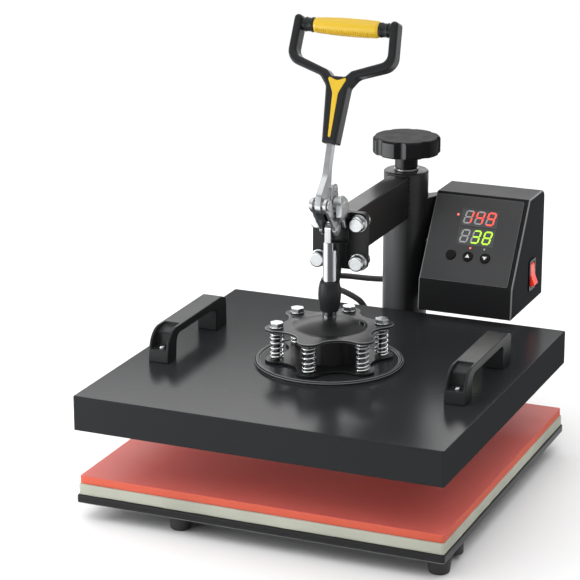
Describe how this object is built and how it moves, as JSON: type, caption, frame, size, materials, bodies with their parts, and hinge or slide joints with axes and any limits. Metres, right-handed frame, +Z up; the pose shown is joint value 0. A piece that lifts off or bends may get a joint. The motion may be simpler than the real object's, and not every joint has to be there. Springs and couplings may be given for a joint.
{
  "type": "heat press",
  "caption": "Swing-away heat press: square heated platen on a toggle head over a padded tray, with column, pressure knob and control box.",
  "frame": {"origin": "on the bench, under the middle of the whole press", "axes": "+X to the right when facing the control panel, +Y to the rear, +Z up"},
  "size_m": [0.381, 0.476, 0.4728],
  "materials": {
    "black_steel": "satin black powder coat",
    "platen_black": "satin black",
    "zinc": "zinc plated",
    "chrome": "polished",
    "steel": "plain steel",
    "rubber": "matt",
    "felt": "felt",
    "silicone": "matt",
    "black_plastic": "moulded",
    "satin_plastic": "satin moulded",
    "yellow_plastic": "satin",
    "aluminium": "cast",
    "insulation": "mineral wool",
    "display_red": "lit",
    "display_green": "lit",
    "led": "lens",
    "circuit": "resist",
    "relay": "moulded",
    "transformer": "laminated",
    "brass": "plain",
    "rocker_red": "translucent"
  },
  "bodies": {
    "base": {"lower_tray": "black_steel", "base_spine": "black_steel", "rear_crossbar": "black_steel", "rubber_feet": "rubber", "foot_screws": "zinc", "inner_post": "black_steel", "post_nut": "brass", "post_bolts": "zinc", "felt_pad": "felt", "silicone_pad": "silicone"},
    "lift": {"lift_bush": "steel", "thrust_washer": "steel"},
    "head": {"column_sleeve": "black_steel", "arm_tube": "black_steel", "clamp_plate": "black_steel", "clamp_bolts": "zinc", "toggle_bracket": "zinc", "pivot_pins": "zinc", "shaft_guide": "satin_plastic", "box_bracket": "black_steel", "control_case": "black_steel", "case_back": "black_steel", "power_inlet": "black_plastic", "control_panel": "black_plastic", "temperature_display": "display_red", "timer_display": "display_green", "status_leds": "led", "circuit_board": "circuit", "switch_body": "black_plastic", "solid_state_relay": "relay", "control_transformer": "transformer", "heater_lead": "rubber", "case_gland": "black_plastic"},
    "knob": {"pressure_knob": "black_plastic", "pressure_screw": "steel"},
    "lever": {"lever_bar": "zinc", "link_pin": "zinc", "handle_frame": "satin_plastic", "handle_inlay": "yellow_plastic", "grip_sleeve": "yellow_plastic"},
    "link": {"toggle_links": "zinc"},
    "plunger": {"plunger_shaft": "chrome", "clevis_pin": "steel", "star_plate": "black_steel"},
    "platen": {"platen_cover": "platen_black", "heating_plate": "aluminium", "heating_element": "steel", "insulation_blanket": "insulation", "thermostat_probe": "brass", "mount_flange": "platen_black", "spring_seat": "black_steel", "float_bolts": "zinc", "float_springs": "zinc", "left_handle": "satin_plastic", "right_handle": "satin_plastic", "platen_terminal": "black_steel"},
    "set_button": {"set_button": "black_plastic"},
    "up_button": {"up_button": "black_plastic"},
    "down_button": {"down_button": "black_plastic"},
    "rocker": {"rocker_switch": "rocker_red"}
  },
  "joints": [
    {"name": "head_lift", "type": "slide", "parent": "base", "child": "lift", "axis": [0, 0, 1], "range_m": [-0.00801, 0.01201]},
    {"name": "knob_turn", "type": "hinge", "parent": "lift", "child": "knob", "pos_m": [0, 0.168, 0.307], "axis": [0, 0, 1], "range_deg": [-1445, 2165]},
    {"name": "head_swing", "type": "hinge", "parent": "lift", "child": "head", "pos_m": [0, 0.168, 0.25], "axis": [0, 0, 1], "range_deg": [-180, 180]},
    {"name": "handle_lever", "type": "hinge", "parent": "head", "child": "lever", "pos_m": [0, -0.048, 0.295], "axis": [1, 0, 0], "range_deg": [0, 100.2]},
    {"name": "toggle_link", "type": "hinge", "parent": "lever", "child": "link", "pos_m": [0, -0.0736, 0.2995], "axis": [1, 0, 0], "range_deg": [-141, 0]},
    {"name": "plunger_slide", "type": "slide", "parent": "head", "child": "plunger", "axis": [0, 0, 1], "range_m": [-0.04, 0], "deforming": ["heater_lead"]},
    {"name": "platen_float", "type": "slide", "parent": "plunger", "child": "platen", "axis": [0, 0, 1], "range_m": [0, 0.003], "stiffness_N_per_m": 20000, "springref_m": -0.003, "deforming": ["float_springs", "heater_lead"]},
    {"name": "set_button_press", "type": "slide", "parent": "head", "child": "set_button", "axis": [0, 0.8366, -0.5478], "range_m": [0, 0.0012], "stiffness_N_per_m": 300, "springref_m": -0.001},
    {"name": "up_button_press", "type": "slide", "parent": "head", "child": "up_button", "axis": [0, 0.8366, -0.5478], "range_m": [0, 0.0012], "stiffness_N_per_m": 300, "springref_m": -0.001},
    {"name": "down_button_press", "type": "slide", "parent": "head", "child": "down_button", "axis": [0, 0.8366, -0.5478], "range_m": [0, 0.0012], "stiffness_N_per_m": 300, "springref_m": -0.001},
    {"name": "rocker_tilt", "type": "hinge", "parent": "head", "child": "rocker", "pos_m": [0.133, 0.1915, 0.1715], "axis": [0, 1, 0], "range_deg": [0, 20]}
  ],
  "couplings": [
    {"joint": "knob_turn", "follows": "head_lift", "rad_per_m": 3141.6},
    {"joint": "handle_lever", "follows": "plunger_slide", "rad_per_m": -43.633},
    {"joint": "toggle_link", "follows": "plunger_slide", "rad_per_m": 61.418}
  ]
}
